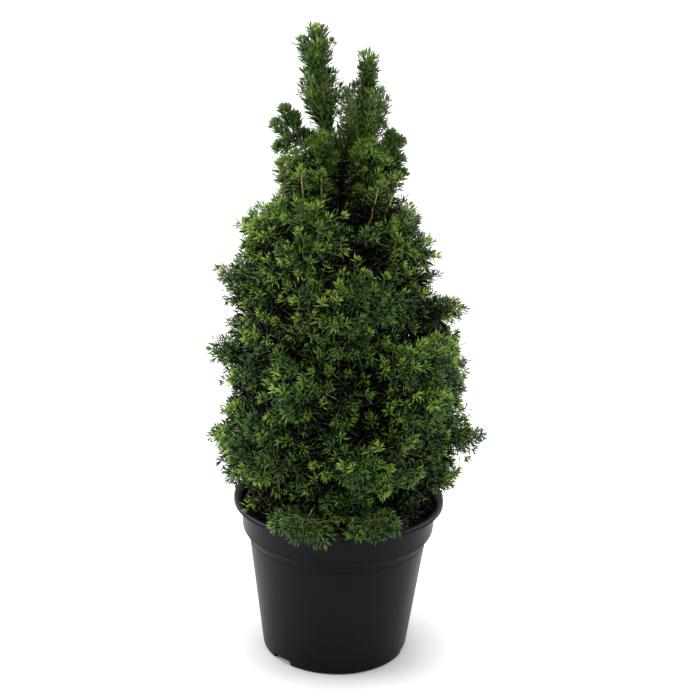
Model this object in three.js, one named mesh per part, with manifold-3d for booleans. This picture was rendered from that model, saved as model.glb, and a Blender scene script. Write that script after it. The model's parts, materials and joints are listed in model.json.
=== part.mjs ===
// A dwarf Alberta spruce in a black nursery pot: a conical crown with two leaders, its trunk and boughs,
// the potting soil and the pot. Millimetres and degrees, +Z up, origin at the middle of the pot's underside.
import * as THREE from "three";
import { mergeVertices } from "three/addons/utils/BufferGeometryUtils.js";
import Module from "manifold-3d";

const wasm = await Module();
wasm.setup();

// ---------------------------------------------------------------- driving dimensions

const GAP = 0.3; // clearance between pieces that touch

const POT = {
  height: 147.5,
  wall: 1.3,
  floor: 1.6,
  baseRadius: 66.5,
  baseCorner: 2,
  neckRadius: 80.7, // top of the tapered wall
  neckHeight: 108.5,
  collarLowRadius: 86.9, // the collar starts where a bevel ends
  collarLowHeight: 118.5,
  collarTopRadius: 88.9,
  lipRadius: 95.2,
  lipDrop: 5, // how far the turned-down lip hangs
  lipRound: 1.2,
  segments: 36,
};

const NOTCH = { // drainage notches through the foot of the wall and the edge of the floor
  turns: [105, 225, 345],
  width: 22,
  height: 4.9,
  depth: 9,
  cornerRadius: 2.5,
};

const SOIL_TOP = 129;

const TRUNK = {
  path: [
    [0, 0, SOIL_TOP + GAP], [-0.5, 0.5, 200], [-4, 1.5, 300], [-9, 1, 392], [-20, 0, 480], [-31.5, 0, 549],
  ],
  baseRadius: 6.2,
  tipRadius: 1.1,
  flare: 2.6, // extra radius of the root flare at the soil
  flareHeight: 14,
};

const RIGHT_LEADER = {
  path: [[-8.5, 1, 384], [1, 1, 408], [7, 0.5, 448], [12, 0, 495], [14.5, 0, 531]],
  baseRadius: 2.9,
  tipRadius: 0.9,
};

const BOUGH = { baseRadius: 2.4, endRadius: 1.5, rise: 24, sag: 0.18 }; // rise: degrees above level
const TWIG = { baseRadius: 1.5, endRadius: 0.9 };

// The crown's tiers, from the soil up. Each mass runs out from `core` to its own reach, both measured from
// the trunk, about a middle at `height`. A tier's masses stand evenly round the trunk from the turn `first`.
const TIERS = [
  { name: "skirt", height: 171, halfHeight: 38, core: 30, first: 1, reaches: [104, 100, 106, 84] },
  { name: "low", height: 215, halfHeight: 39, core: 26, first: 0, reaches: [112, 110, 112, 115, 109] },
  { name: "middle", height: 274, halfHeight: 40, core: 22, first: 36, reaches: [119, 107, 103, 105, 120] },
  { name: "high", height: 334, halfHeight: 40, core: 18, first: 4, reaches: [86, 94, 94, 95] },
  { name: "shoulder", height: 391, halfHeight: 38, core: 14, first: 352, reaches: [74, 82, 86] },
];

// Masses that are not part of a ring: their middles and half sizes along X, Y and Z.
const CROWN_TOP = [
  { name: "neck_left", at: [-35, -6, 440], half: [26, 30, 40] },
  { name: "neck_right", at: [20, -8, 441], half: [25, 30, 43] },
  { name: "neck_back", at: [-9, 26, 438], half: [30, 24, 40] },
  { name: "left_leader_middle", at: [-26, 0, 504], half: [17, 16, 33] },
  { name: "left_leader_tip", at: [-31, 0, 545], half: [14.5, 14, 20] },
  { name: "right_leader_middle", at: [9.5, 0, 494], half: [20, 19, 30] },
  { name: "right_leader_tip", at: [13, 0, 526], half: [11, 10.5, 19] },
];

// Loose sprigs that stand clear of the crown on twigs of their own, which start at `from`.
const SPRIGS = [
  { name: "upper_left_sprig", at: [-54, -4, 487], half: [15, 10, 12], from: [-14, 0, 441] },
  { name: "right_sprig", at: [39, -3, 460], half: [8.5, 9, 19], from: [1, 0, 406] },
];

// Two sprays droop over the front of the rim.
const SPRAYS = { turns: [246, 287], middle: 89, height: 160, half: [29, 29, 10.5], droop: 28 };

// The furthest tips, where one shoot reaches past the rest of its mass.
const TIPS = [
  [-110, 3, 177], [-114, -10, 208], [-118, -4, 282], [-106, -4, 325], [-112, -2, 355], [-93, -22, 404],
  [128, -5, 209], [122, -12, 197], [111, 8, 268], [106, -4, 325], [82, -6, 370],
];
const TIP_LOBE = 0.28; // half width of a reaching shoot, in radians seen from its mass's middle

const FACETS = 2; // subdivision of each mass's sphere, one less for masses under SMALL
const SMALL = 21;
const FULLNESS = 2.5; // 2 is an ellipsoid, more is boxier
const CROWDING = 1.15; // over 1, the masses of a tier press into each other
const UNEVEN = 0.13; // depth of the lumps, as a share of a mass's size
const CELL_GAP = 2 * GAP; // between neighbouring masses

const LEAF_COLOURS = [0x24451a, 0x2c5220, 0x1f3d18];

// ---------------------------------------------------------------- materials

const plastic = new THREE.MeshStandardMaterial({ color: 0x1b1d1e, roughness: 0.42, metalness: 0 });
const peat = new THREE.MeshStandardMaterial({ color: 0x241a14, roughness: 0.95, metalness: 0 });
const bark = new THREE.MeshStandardMaterial({ color: 0x8a6a4c, roughness: 0.85, metalness: 0 });
const foliage = LEAF_COLOURS.map(
  (color) => new THREE.MeshStandardMaterial({ color, roughness: 0.6, metalness: 0 }),
);

// ---------------------------------------------------------------- solids

const radians = THREE.MathUtils.degToRad;
const vector = (p) => new THREE.Vector3(...p);
const outward = (turn) => new THREE.Vector3(Math.cos(radians(turn)), Math.sin(radians(turn)), 0);

function solidOf(geometry) {
  const bare = geometry.clone();
  bare.deleteAttribute("normal");
  bare.deleteAttribute("uv");
  const merged = mergeVertices(bare, 1e-4);
  return new wasm.Manifold(
    new wasm.Mesh({
      numProp: 3,
      vertProperties: merged.attributes.position.array,
      triVerts: new Uint32Array(merged.index.array),
    }),
  );
}

function geometryOf(solid) {
  const { vertProperties, triVerts } = solid.getMesh();
  const geometry = new THREE.BufferGeometry();
  geometry.setAttribute("position", new THREE.BufferAttribute(vertProperties, 3));
  geometry.setIndex(new THREE.BufferAttribute(triVerts, 1));
  return geometry;
}

// A cut can leave slivers beside the piece itself: the piece is the largest.
function largestPiece(solid) {
  return solid.decompose().reduce((a, b) => (b.volume() > a.volume() ? b : a));
}

const crown = new THREE.Group();

function place(name, geometry, material) {
  const mesh = new THREE.Mesh(geometry, material);
  mesh.name = name;
  crown.add(mesh);
}

// ---------------------------------------------------------------- pot and soil

// A profile of [radius, height] pairs turned round Z.
function turned(profile) {
  const points = profile.map(([r, z]) => new THREE.Vector2(r, z));
  return solidOf(new THREE.LatheGeometry(points, POT.segments).rotateX(Math.PI / 2));
}

function wallRadius(height) {
  const share = height / POT.neckHeight;
  return POT.baseRadius + (POT.neckRadius - POT.baseRadius) * share;
}

function potProfile() {
  const { height, wall, floor, baseRadius, baseCorner, lipRadius, lipDrop, lipRound } = POT;
  const lipInside = lipRadius - wall;
  return [
    [0, 0],
    [baseRadius - baseCorner, 0],
    [wallRadius(baseCorner * 0.3) - baseCorner * 0.3, baseCorner * 0.3],
    [wallRadius(baseCorner), baseCorner],
    [POT.neckRadius, POT.neckHeight],
    [POT.collarLowRadius, POT.collarLowHeight],
    [POT.collarTopRadius, height - wall],
    [lipInside, height - wall],
    [lipInside, height - lipDrop],
    [lipRadius, height - lipDrop],
    [lipRadius, height - lipRound],
    [lipRadius - lipRound, height],
    [POT.collarTopRadius - wall, height],
    [POT.collarLowRadius - wall, POT.collarLowHeight],
    [POT.neckRadius - wall, POT.neckHeight],
    [wallRadius(floor) - wall, floor],
    [0, floor],
  ];
}

// A notch is a round-cornered block across the foot of the wall. The soil is cut back by the same block,
// grown by the gap.
function notchBlock(turn, grow = 0) {
  const { width, height, depth, cornerRadius } = NOTCH;
  const side = width / 2 - cornerRadius;
  const outline = new THREE.Shape();
  outline.moveTo(-width / 2 - grow, -1);
  outline.lineTo(width / 2 + grow, -1);
  outline.absarc(side, height - cornerRadius, cornerRadius + grow, 0, Math.PI / 2);
  outline.absarc(-side, height - cornerRadius, cornerRadius + grow, Math.PI / 2, Math.PI);
  const block = new THREE.ExtrudeGeometry(outline, {
    depth: depth + grow + 20,
    bevelEnabled: false,
    curveSegments: 3,
  });
  block.rotateX(Math.PI / 2).rotateZ(Math.PI / 2); // drawn upright, then laid along the radius
  block.translate(POT.baseRadius - depth - grow, 0, 0).rotateZ(radians(turn));
  return solidOf(block);
}

function insideOfPot(gap) {
  return turned([
    [0, POT.floor + gap],
    [wallRadius(POT.floor) - POT.wall - gap, POT.floor + gap],
    [POT.neckRadius - POT.wall - gap, POT.neckHeight],
    [POT.collarLowRadius - POT.wall - gap, POT.collarLowHeight],
    [soilRadius() - gap, SOIL_TOP],
    [0, SOIL_TOP],
  ]);
}

function soilRadius() {
  const share = (SOIL_TOP - POT.collarLowHeight) / (POT.height - POT.collarLowHeight);
  return POT.collarLowRadius - POT.wall + (POT.collarTopRadius - POT.collarLowRadius) * share;
}

const notched = (solid, grow) =>
  NOTCH.turns.reduce((body, turn) => body.subtract(notchBlock(turn, grow)), solid);

// ---------------------------------------------------------------- trunk and boughs

// A closed round limb along a curve. radiusAt takes the share of the way along.
function limb(curve, radiusAt, sides, rings, grow = 0) {
  const positions = [];
  const faces = [];
  const side = new THREE.Vector3(1, 0, 0);
  for (let k = 0; k <= rings; k++) {
    const along = curve.getTangentAt(k / rings);
    const past = k === 0 ? -grow : k === rings ? grow : 0;
    const centre = curve.getPointAt(k / rings).addScaledVector(along, past);
    const u = side.clone().addScaledVector(along, -side.dot(along)).normalize();
    const v = new THREE.Vector3().crossVectors(along, u);
    const r = radiusAt(k / rings) + grow;
    for (let s = 0; s < sides; s++) {
      const a = (2 * Math.PI * s) / sides;
      const corner = centre.clone().addScaledVector(u, r * Math.cos(a)).addScaledVector(v, r * Math.sin(a));
      positions.push(...corner);
    }
  }
  const at = (k, s) => k * sides + (s % sides);
  for (let k = 0; k < rings; k++)
    for (let s = 0; s < sides; s++)
      faces.push(at(k, s), at(k, s + 1), at(k + 1, s + 1), at(k, s), at(k + 1, s + 1), at(k + 1, s));
  for (let s = 1; s < sides - 1; s++)
    faces.push(at(0, 0), at(0, s + 1), at(0, s), at(rings, 0), at(rings, s), at(rings, s + 1));
  const geometry = new THREE.BufferGeometry();
  geometry.setAttribute("position", new THREE.Float32BufferAttribute(positions, 3));
  geometry.setIndex(faces);
  return solidOf(geometry);
}

const smooth = (path) => new THREE.CatmullRomCurve3(path.map(vector));
const taper = (from, to) => (t) => from + (to - from) * t;

const trunkCurve = smooth(TRUNK.path);

function trunkRadius(t) {
  const above = t * trunkCurve.getLength();
  return taper(TRUNK.baseRadius, TRUNK.tipRadius)(t) + TRUNK.flare * Math.exp(-above / TRUNK.flareHeight);
}

const trunkSolid = (grow) => limb(trunkCurve, trunkRadius, 12, 14, grow);

// The trunk's middle at a height, read off its curve.
function trunkAt(height) {
  const last = TRUNK.path.length - 1;
  const top = TRUNK.path[last][2];
  if (height >= top) return vector(TRUNK.path[last]);
  let low = 0;
  let high = 1;
  while (high - low > 1e-4) {
    const middle = (low + high) / 2;
    if (trunkCurve.getPoint(middle).z < height) low = middle;
    else high = middle;
  }
  return trunkCurve.getPoint(low);
}

const rightLeaderSolid = (grow) =>
  limb(smooth(RIGHT_LEADER.path), taper(RIGHT_LEADER.baseRadius, RIGHT_LEADER.tipRadius), 7, 6, grow);

// ---------------------------------------------------------------- masses of foliage

// A half space that a mass keeps to: every point p of it has normal . p < offset.
const keepBelow = (normal, through) => ({ normal, offset: normal.dot(through) });

function tierMasses() {
  return TIERS.flatMap(({ name, height, halfHeight, core, first, reaches }) =>
    reaches.map((reach, i) => {
      const turn = first + (360 * i) / reaches.length;
      const out = outward(turn);
      const stem = trunkAt(height);
      const planes = [keepBelow(out.clone().negate(), stem.clone().addScaledVector(out, core))];
      if (name === "skirt") planes.push(...[-38, 0, 38].map((side) => aboveRim(outward(turn + side), core)));
      const width = ((core + reach) / 2) * Math.sin(Math.PI / reaches.length) * CROWDING;
      return {
        name: `${name}_mass_${i + 1}`, bough: `${name}_bough_${i + 1}`, turn, planes,
        middle: stem.clone().addScaledVector(out, (core + reach) / 2),
        half: [(reach - core) / 2, width, halfHeight],
      };
    }),
  );
}

// The skirt clears the soil near the trunk and the lip at the rim.
function aboveRim(out, core) {
  const inner = out.clone().multiplyScalar(core + 10).setZ(SOIL_TOP + 5);
  const rim = out.clone().multiplyScalar(POT.lipRadius).setZ(POT.height + 6);
  const along = rim.clone().sub(inner);
  const down = new THREE.Vector3().crossVectors(along, new THREE.Vector3(0, 0, 1)).cross(along).normalize();
  return keepBelow(down.z < 0 ? down : down.negate(), inner);
}

// A spray is a flat pad tilted down over the rim.
function sprayMasses() {
  return SPRAYS.turns.map((turn, i) => {
    const out = outward(turn);
    const rim = out.clone().multiplyScalar(POT.lipRadius).setZ(POT.height + 1.5);
    const tilt = radians(SPRAYS.droop);
    const down = out.clone().multiplyScalar(-Math.sin(tilt)).setZ(-Math.cos(tilt));
    return {
      name: `front_spray_${i + 1}`, turn, droop: tilt, planes: [keepBelow(down, rim)],
      middle: out.clone().multiplyScalar(SPRAYS.middle).setZ(SPRAYS.height), half: SPRAYS.half,
    };
  });
}

const loose = (list) =>
  list.map(({ name, at, half, from }) => ({ name, middle: vector(at), turn: 0, half, planes: [], from }));

const masses = [...tierMasses(), ...sprayMasses(), ...loose(CROWN_TOP), ...loose(SPRIGS)];

// Neighbours share one dividing plane, set between their middles by size, with CELL_GAP across it.
function divideCells() {
  const size = (m) => Math.cbrt(m.half[0] * m.half[1] * m.half[2]);
  for (const a of masses)
    for (const b of masses) {
      if (a === b) continue;
      const apart = b.middle.clone().sub(a.middle);
      const length = apart.length();
      const share = size(a) / (size(a) + size(b));
      const normal = apart.normalize();
      const border = a.middle.clone().addScaledVector(normal, length * share - CELL_GAP / 2);
      a.planes.push(keepBelow(normal, border));
    }
}

// Lumps of three sizes, from waves whose directions and phases follow from the mass's number.
function lumps(direction, number) {
  let sum = 0;
  for (let wave = 1; wave <= 3; wave++) {
    const a = number * 2.4 + wave * 1.7;
    const axis = new THREE.Vector3(Math.cos(a), Math.sin(a), Math.cos(a * 1.3)).normalize();
    sum += Math.cos(direction.dot(axis) * (2 + 2 * wave) + a * 3) / wave;
  }
  return sum;
}

// How far the mass goes from its middle along a direction: its own uneven rounded form, cut off by its
// planes.
function extent(mass, direction, number) {
  const tilted = direction.clone().applyAxisAngle(new THREE.Vector3(0, 0, 1), -radians(mass.turn));
  if (mass.droop) tilted.applyAxisAngle(new THREE.Vector3(0, 1, 0), -mass.droop);
  const shares = tilted.toArray().map((x, k) => Math.abs(x / mass.half[k]) ** FULLNESS);
  const round = (shares[0] + shares[1] + shares[2]) ** (-1 / FULLNESS);
  return withinPlanes(mass, direction, round * (1 + UNEVEN * lumps(direction, number) * 0.5));
}

function withinPlanes(mass, direction, length) {
  for (const { normal, offset } of mass.planes) {
    const facing = normal.dot(direction);
    if (facing > 1e-6) length = Math.min(length, (offset - normal.dot(mass.middle)) / facing);
  }
  return length;
}

function massSolid(mass, grow = 0) {
  const number = masses.indexOf(mass) + 1;
  const sphere = new THREE.IcosahedronGeometry(1, Math.max(...mass.half) < SMALL ? FACETS - 1 : FACETS);
  sphere.deleteAttribute("normal");
  sphere.deleteAttribute("uv");
  const geometry = mergeVertices(sphere, 1e-4);
  const corners = geometry.attributes.position;
  const directions = Array.from({ length: corners.count }, (_, i) =>
    new THREE.Vector3().fromBufferAttribute(corners, i).normalize(),
  );
  const lengths = directions.map((direction) => extent(mass, direction, number));
  for (const tip of TIPS.map(vector).filter((point) => nearestMass(point) === mass))
    raiseTip(mass, directions, lengths, tip);
  directions.forEach((direction, i) => {
    const corner = mass.middle.clone().addScaledVector(direction, lengths[i] + grow);
    corners.setXYZ(i, corner.x, corner.y, corner.z);
  });
  return solidOf(geometry);
}

// The corner nearest the tip moves onto it, and the corners round it rise part of the way.
function raiseTip(mass, directions, lengths, tip) {
  const towards = tip.clone().sub(mass.middle);
  const away = directions.map((direction) => direction.angleTo(towards));
  directions[away.indexOf(Math.min(...away))].copy(towards).normalize();
  directions.forEach((direction, i) => {
    const rise = (towards.length() - lengths[i]) * Math.exp(-((direction.angleTo(towards) / TIP_LOBE) ** 2));
    lengths[i] = withinPlanes(mass, direction, lengths[i] + Math.max(rise, 0));
  });
}

function nearestMass(point) {
  return masses.reduce((a, b) => (b.middle.distanceTo(point) < a.middle.distanceTo(point) ? b : a));
}

// ---------------------------------------------------------------- assembly

place("pot", geometryOf(notched(turned(potProfile()), 0)), plastic);
place("soil", geometryOf(notched(insideOfPot(GAP), GAP)), peat);

place("trunk", geometryOf(trunkSolid(0)), bark);
const trunkRoom = trunkSolid(GAP);
place("right_leader", geometryOf(largestPiece(rightLeaderSolid(0).subtract(trunkRoom))), bark);
const rightLeaderRoom = rightLeaderSolid(GAP);

divideCells();

masses.forEach((mass, i) => {
  const solid = massSolid(mass).subtract(trunkRoom).subtract(rightLeaderRoom);
  place(mass.name, geometryOf(largestPiece(solid)), foliage[i % foliage.length]);
});

const massRooms = wasm.Manifold.union(masses.map((mass) => massSolid(mass, GAP)));

// A limb from the trunk's middle into a mass, rising as it goes, and ending where it enters the mass.
function placeLimb(name, from, mass, thickness) {
  const reach = mass.middle.clone().sub(from);
  const bend = from.clone().addScaledVector(reach, 0.5);
  bend.z -= reach.length() * (thickness.sag ?? 0);
  const curve = new THREE.QuadraticBezierCurve3(from, bend, mass.middle);
  const whole = limb(curve, taper(thickness.baseRadius, thickness.endRadius), 5, 3);
  const bare = whole.subtract(trunkRoom).subtract(rightLeaderRoom).subtract(massRooms);
  place(name, geometryOf(largestPiece(bare)), bark);
}

for (const mass of masses.filter(({ bough }) => bough)) {
  const away = mass.middle.clone().sub(trunkAt(mass.middle.z)).length();
  const foot = Math.max(mass.middle.z - away * Math.tan(radians(BOUGH.rise)), SOIL_TOP + 9);
  placeLimb(mass.bough, trunkAt(foot), mass, BOUGH);
}

for (const mass of masses.filter(({ from }) => from)) {
  placeLimb(mass.name.replace("sprig", "twig"), vector(mass.from), mass, TWIG);
}

export default crown;
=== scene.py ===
"""A dwarf Alberta spruce in its black nursery pot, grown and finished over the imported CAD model.

Every mass of foliage is replaced by twigs and needles that grow on from the CAD limbs by one seeded rule.
Lengths are in metres and angles in radians, unless a name or a comment says otherwise.
"""

import json
from collections import namedtuple
from math import atan2, cos, hypot, pi, radians, sin, sqrt

import bmesh
import bpy
import numpy as np
from mathutils import Matrix, Vector, noise
from mathutils.bvhtree import BVHTree
from numpy.linalg import norm


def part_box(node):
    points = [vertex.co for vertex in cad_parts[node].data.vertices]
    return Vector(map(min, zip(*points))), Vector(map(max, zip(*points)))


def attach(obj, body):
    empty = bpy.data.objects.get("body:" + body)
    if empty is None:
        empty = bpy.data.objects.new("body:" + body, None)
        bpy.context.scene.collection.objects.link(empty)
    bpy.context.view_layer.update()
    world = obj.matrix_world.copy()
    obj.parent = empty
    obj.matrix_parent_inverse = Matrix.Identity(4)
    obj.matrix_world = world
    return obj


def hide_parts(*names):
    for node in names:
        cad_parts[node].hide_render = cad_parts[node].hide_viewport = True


MM = 0.001
UP = np.array([0.0, 0.0, 1.0])
SEED = 11
ANY_TURN = (0, 6.28)  # the range of a random turn
SPIRAL_TURN = 2.39996  # from one needle of a shoot to the next
WHORL_TURN = 2.4  # from one shoot of a tuft to the next, and from one whorl of a leader to the next

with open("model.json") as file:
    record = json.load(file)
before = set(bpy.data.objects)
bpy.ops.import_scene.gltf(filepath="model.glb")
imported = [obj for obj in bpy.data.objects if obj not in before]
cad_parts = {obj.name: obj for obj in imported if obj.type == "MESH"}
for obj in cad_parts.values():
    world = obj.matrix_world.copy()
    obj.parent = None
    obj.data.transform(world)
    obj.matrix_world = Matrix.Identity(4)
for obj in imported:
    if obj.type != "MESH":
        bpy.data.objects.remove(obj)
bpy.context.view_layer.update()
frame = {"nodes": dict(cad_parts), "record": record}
nodes = frame["nodes"]
rng = np.random.default_rng(SEED)
uniform = rng.uniform

# ---- camera, light and floor


def placed(name, data):
    """Adds an object with that data to the scene."""
    made = bpy.data.objects.new(name, data)
    bpy.context.scene.collection.objects.link(made)
    return made


def add_camera():
    """The photograph's view: slightly from above, with a small roll."""
    data = bpy.data.cameras.new("camera")
    data.lens = 68.14
    data.sensor_width = 36.0
    data.clip_start, data.clip_end = 0.01, 100
    camera = placed("camera", data)
    bpy.context.scene.camera = camera
    look_down = radians(90 - 16.954)
    roll = radians(1.836)
    turn = Matrix.Rotation(look_down, 4, "X") @ Matrix.Rotation(roll, 4, "Z")
    camera.matrix_world = Matrix.Translation((0.0041, -1.109, 0.624)) @ turn


def add_light(name, kind, place, aim, power):
    """A light that shines from its place towards its aim."""
    data = bpy.data.lights.new(name, kind)
    data.energy = power
    light = placed(name, data)
    light.location = place
    light.rotation_euler = (Vector(aim) - Vector(place)).to_track_quat("-Z", "Y").to_euler()
    return data


def add_world():
    """White all round, darker towards the side that the photograph is taken from."""
    world = bpy.data.worlds.new("studio")
    bpy.context.scene.world = world
    world.use_nodes = True
    tree = world.node_tree
    direction = tree.nodes.new("ShaderNodeTexCoord").outputs["Generated"]
    split = tree.nodes.new("ShaderNodeSeparateXYZ")
    tree.links.new(direction, split.inputs[0])
    level = tree.nodes.new("ShaderNodeMapRange")
    level.interpolation_type = "SMOOTHSTEP"
    for name, value in (("From Min", -1.0), ("From Max", 0.3), ("To Min", 0.03), ("To Max", 0.5)):
        level.inputs[name].default_value = value
    tree.links.new(split.outputs["Y"], level.inputs["Value"])
    tree.links.new(level.outputs["Result"], tree.nodes["Background"].inputs["Strength"])
    tree.nodes["Background"].inputs["Color"].default_value = (1, 1, 1, 1)


def add_studio():
    bpy.context.scene.view_settings.view_transform = "Standard"
    add_world()
    add_light("overhead_sun", "SUN", (0, 0, 0), (0.03, -0.05, -1), 4.5).angle = radians(50)
    for panel in (
        add_light("left_light", "AREA", (-1.35, -0.1, 0.3), (0, 0, 0.28), 24.5),
        add_light("right_light", "AREA", (1.6, 0.1, 0.45), (0, 0, 0.32), 12.8),
    ):
        panel.shape, panel.size, panel.size_y = "RECTANGLE", 1.0, 0.9
        panel.color = (1.0, 1.0, 0.95)
    sweep()


def sweep():
    """A wide pale floor, level where the plant stands and rising gently far away, past every horizon."""
    level_reach, steepening, sides = 3.0, 0.012, 64
    reaches = (0.5, level_reach, *np.linspace(5, 31, 14))
    profile = [(reach, steepening * max(0.0, reach - level_reach) ** 2) for reach in reaches]
    mesh = bmesh.new()
    corners = [mesh.verts.new(point) for point in rings_of(profile, sides)]
    mesh.faces.new(corners[:sides])
    add_bands(mesh, corners, len(profile) - 1, sides)
    floor = object_from(mesh, "floor")
    floor.data.shade_smooth()
    floor.data.materials.append(plain("floor_pale", (0.84, 0.84, 0.84), 0.9, 0.0))
    return floor


# ---- materials


def plain(name, color, roughness, specular):
    """One even finish."""
    material = bpy.data.materials.new(name)
    material.use_nodes = True
    shader = material.node_tree.nodes["Principled BSDF"]
    shader.inputs["Base Color"].default_value = (*color, 1)
    shader.inputs["Roughness"].default_value = roughness
    shader.inputs["Specular IOR Level"].default_value = specular
    return material


WHITE, BLACK = (1, 1, 1), (0, 0, 0)


class Finish:
    """A material built from a chain of nodes over object coordinates."""

    def __init__(self, name, roughness, specular):
        self.material = plain(name, (0.5, 0.5, 0.5), roughness, specular)
        self.tree = self.material.node_tree
        self.shader = self.tree.nodes["Principled BSDF"]
        self.place = self.tree.nodes.new("ShaderNodeTexCoord").outputs["Object"]

    def feed(self, socket, value):
        """Links an input to an output, or sets its constant."""
        if isinstance(value, bpy.types.NodeSocket):
            self.tree.links.new(value, socket)
        else:
            socket.default_value = (*value, 1) if socket.type == "RGBA" else value

    def shade(self, name, value):
        self.feed(self.shader.inputs[name], value)

    def node(self, kind, **inputs):
        """Adds a node, with a link or a constant for each named input."""
        node = self.tree.nodes.new(kind)
        for name, value in inputs.items():
            self.feed(node.inputs[name], value)
        return node

    def noise(self, scale, detail, roughness=0.55, upright=1.0):
        """Cloudy noise. The smaller upright is, the more it is drawn out along Z."""
        place = self.node("ShaderNodeMapping", Vector=self.place, Scale=(1, 1, upright)).outputs["Vector"]
        inputs = {"Vector": place, "Scale": scale, "Detail": detail, "Roughness": roughness}
        return self.node("ShaderNodeTexNoise", **inputs).outputs["Fac"]

    def ramp(self, value, stops):
        """stops: [(position, colour), ...]."""
        node = self.node("ShaderNodeValToRGB", Fac=value)
        band = node.color_ramp
        while len(band.elements) < len(stops):
            band.elements.new(0.5)
        for element, (position, color) in zip(band.elements, stops):
            element.position, element.color = position, (*color, 1)
        return node.outputs["Color"]

    def mix(self, share, first, second, blend="MIX"):
        node = self.tree.nodes.new("ShaderNodeMix")
        node.data_type, node.blend_type = "RGBA", blend
        for number, value in ((0, share), (6, first), (7, second)):  # the sockets for a colour mix
            self.feed(node.inputs[number], value)
        return node.outputs[2]

    def level(self, value, low, high, first=0.0, last=1.0):
        """Maps a value between first and last to one between low and high."""
        inputs = {"Value": value, "From Min": first, "From Max": last, "To Min": low, "To Max": high}
        return self.node("ShaderNodeMapRange", **inputs).outputs["Result"]

    def two_tone(self, grain, share, first, second, depth):
        """Two ramps over the same grain, mixed by a share, and the grain in relief."""
        self.shade("Base Color", self.mix(share, self.ramp(grain, first), self.ramp(grain, second)))
        self.bump(grain, depth)
        return self.material

    def bump(self, height, distance, strength=1.0):
        node = self.node("ShaderNodeBump", Height=height, Distance=distance, Strength=strength)
        self.shade("Normal", node.outputs["Normal"])


def black_plastic(name, specular, dullest):
    """Thin moulded plastic: satin black, faint clouding, a few pale scuffs and specks."""
    finish = Finish(name, 0.5, specular)
    clouds = finish.noise(22, 3)
    streaks = finish.noise(60, 5, upright=0.12)
    specks = finish.node("ShaderNodeTexVoronoi", Vector=finish.place, Scale=95.0).outputs["Distance"]
    spots = finish.ramp(specks, [(0.0, WHITE), (0.045, WHITE), (0.075, BLACK)])
    rare = finish.ramp(finish.noise(31, 2), [(0.6, BLACK), (0.68, WHITE)])
    marks = finish.mix(1.0, spots, rare, "MULTIPLY")
    body = finish.ramp(clouds, [(0.3, (0.0029, 0.0032, 0.0044)), (0.7, (0.0041, 0.0045, 0.0058))])
    finish.shade("Base Color", finish.mix(finish.level(marks, 0.0, 0.5), body, (0.07, 0.07, 0.065)))
    finish.shade("Roughness", finish.level(streaks, dullest - 0.14, dullest))
    finish.bump(finish.noise(420, 3), 0.12 * MM, 0.5)
    return finish.material


def potting_mix():
    finish = Finish("potting_mix", 0.95, 0.15)
    crumbs = finish.noise(260, 8, roughness=0.7)
    patches = finish.noise(35, 4)
    browns = [(0.3, (0.004, 0.0025, 0.002)), (0.55, (0.016, 0.010, 0.007)), (0.8, (0.05, 0.03, 0.02))]
    reds = [(0.3, (0.006, 0.003, 0.002)), (0.7, (0.04, 0.018, 0.010))]
    return finish.two_tone(crumbs, patches, browns, reds, 1.2 * MM)


def old_bark():
    """Scaly grey-brown low down, turning to smooth tan on the young leaders."""
    finish = Finish("old_bark", 0.85, 0.25)
    plates = finish.noise(240, 6, roughness=0.65, upright=0.3)
    greys = [(0.3, (0.035, 0.022, 0.014)), (0.55, (0.12, 0.078, 0.048)), (0.75, (0.22, 0.16, 0.11))]
    tans = [(0.3, (0.17, 0.10, 0.05)), (0.7, (0.38, 0.26, 0.14))]
    height = finish.node("ShaderNodeSeparateXYZ", Vector=finish.place).outputs["Z"]
    youth = finish.level(height, 0.0, 1.0, 0.36, 0.45)
    return finish.two_tone(plates, youth, greys, tans, 0.9 * MM)


# ---- meshes from arrays


def add_piece(name, points, faces, material, slot, stands_for=()):
    """A smooth-shaded piece from its corners and the corner numbers of its faces."""
    mesh = bpy.data.meshes.new(name)
    mesh.from_pydata(points, [], faces, shade_flat=False)
    mesh.materials.append(material)
    return keep_piece(placed(name, mesh), stands_for)


def keep_piece(piece, stands_for=()):
    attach(piece, "root")
    if stands_for:
        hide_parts(*stands_for)
    return piece


def joined(parts):
    """Joins (points, faces) pairs into one."""
    points, faces, start = [], [], 0
    for some_points, some_faces in parts:
        points.append(some_points)
        faces.append(some_faces + start)
        start += len(some_points)
    return np.concatenate(points), np.concatenate(faces)


def unit(vectors):
    return vectors / np.maximum(norm(vectors, axis=-1, keepdims=True), 1e-12)


def across(directions):
    """Two unit vectors square to each direction and to each other."""
    level = np.abs(directions[..., 2:3]) > 0.95
    side = unit(np.cross(directions, np.where(level, [1.0, 0.0, 0.0], UP)))
    return side, np.cross(directions, side)


def between(points, marks, wanted):
    """The points of a line at the wanted marks, such as heights, read between its own."""
    return np.stack([np.interp(wanted, marks, column) for column in points.T], axis=-1)


def way(turn):
    """The level unit vector at a turn round Z."""
    return np.array([cos(turn), sin(turn), 0])


def bands(rows, sides, first=0):
    """Corner numbers for each face between rings of corners: two on a ring, then the two after them."""
    for i in range(rows):
        for j in range(sides):
            a, b = first + i * sides + j, first + i * sides + (j + 1) % sides
            yield a, b, a + sides, b + sides


def add_bands(mesh, corners, rows, sides):
    """Square faces between rings of corners, in a bmesh."""
    for a, b, c, d in bands(rows, sides):
        mesh.faces.new([corners[k] for k in (a, b, d, c)])


def rings_of(profile, sides):
    """The corners of rings turned round Z, one for each radius and height."""
    turns = 2 * pi * np.arange(sides) / sides
    return [(radius * cos(turn), radius * sin(turn), height) for radius, height in profile for turn in turns]


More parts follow.
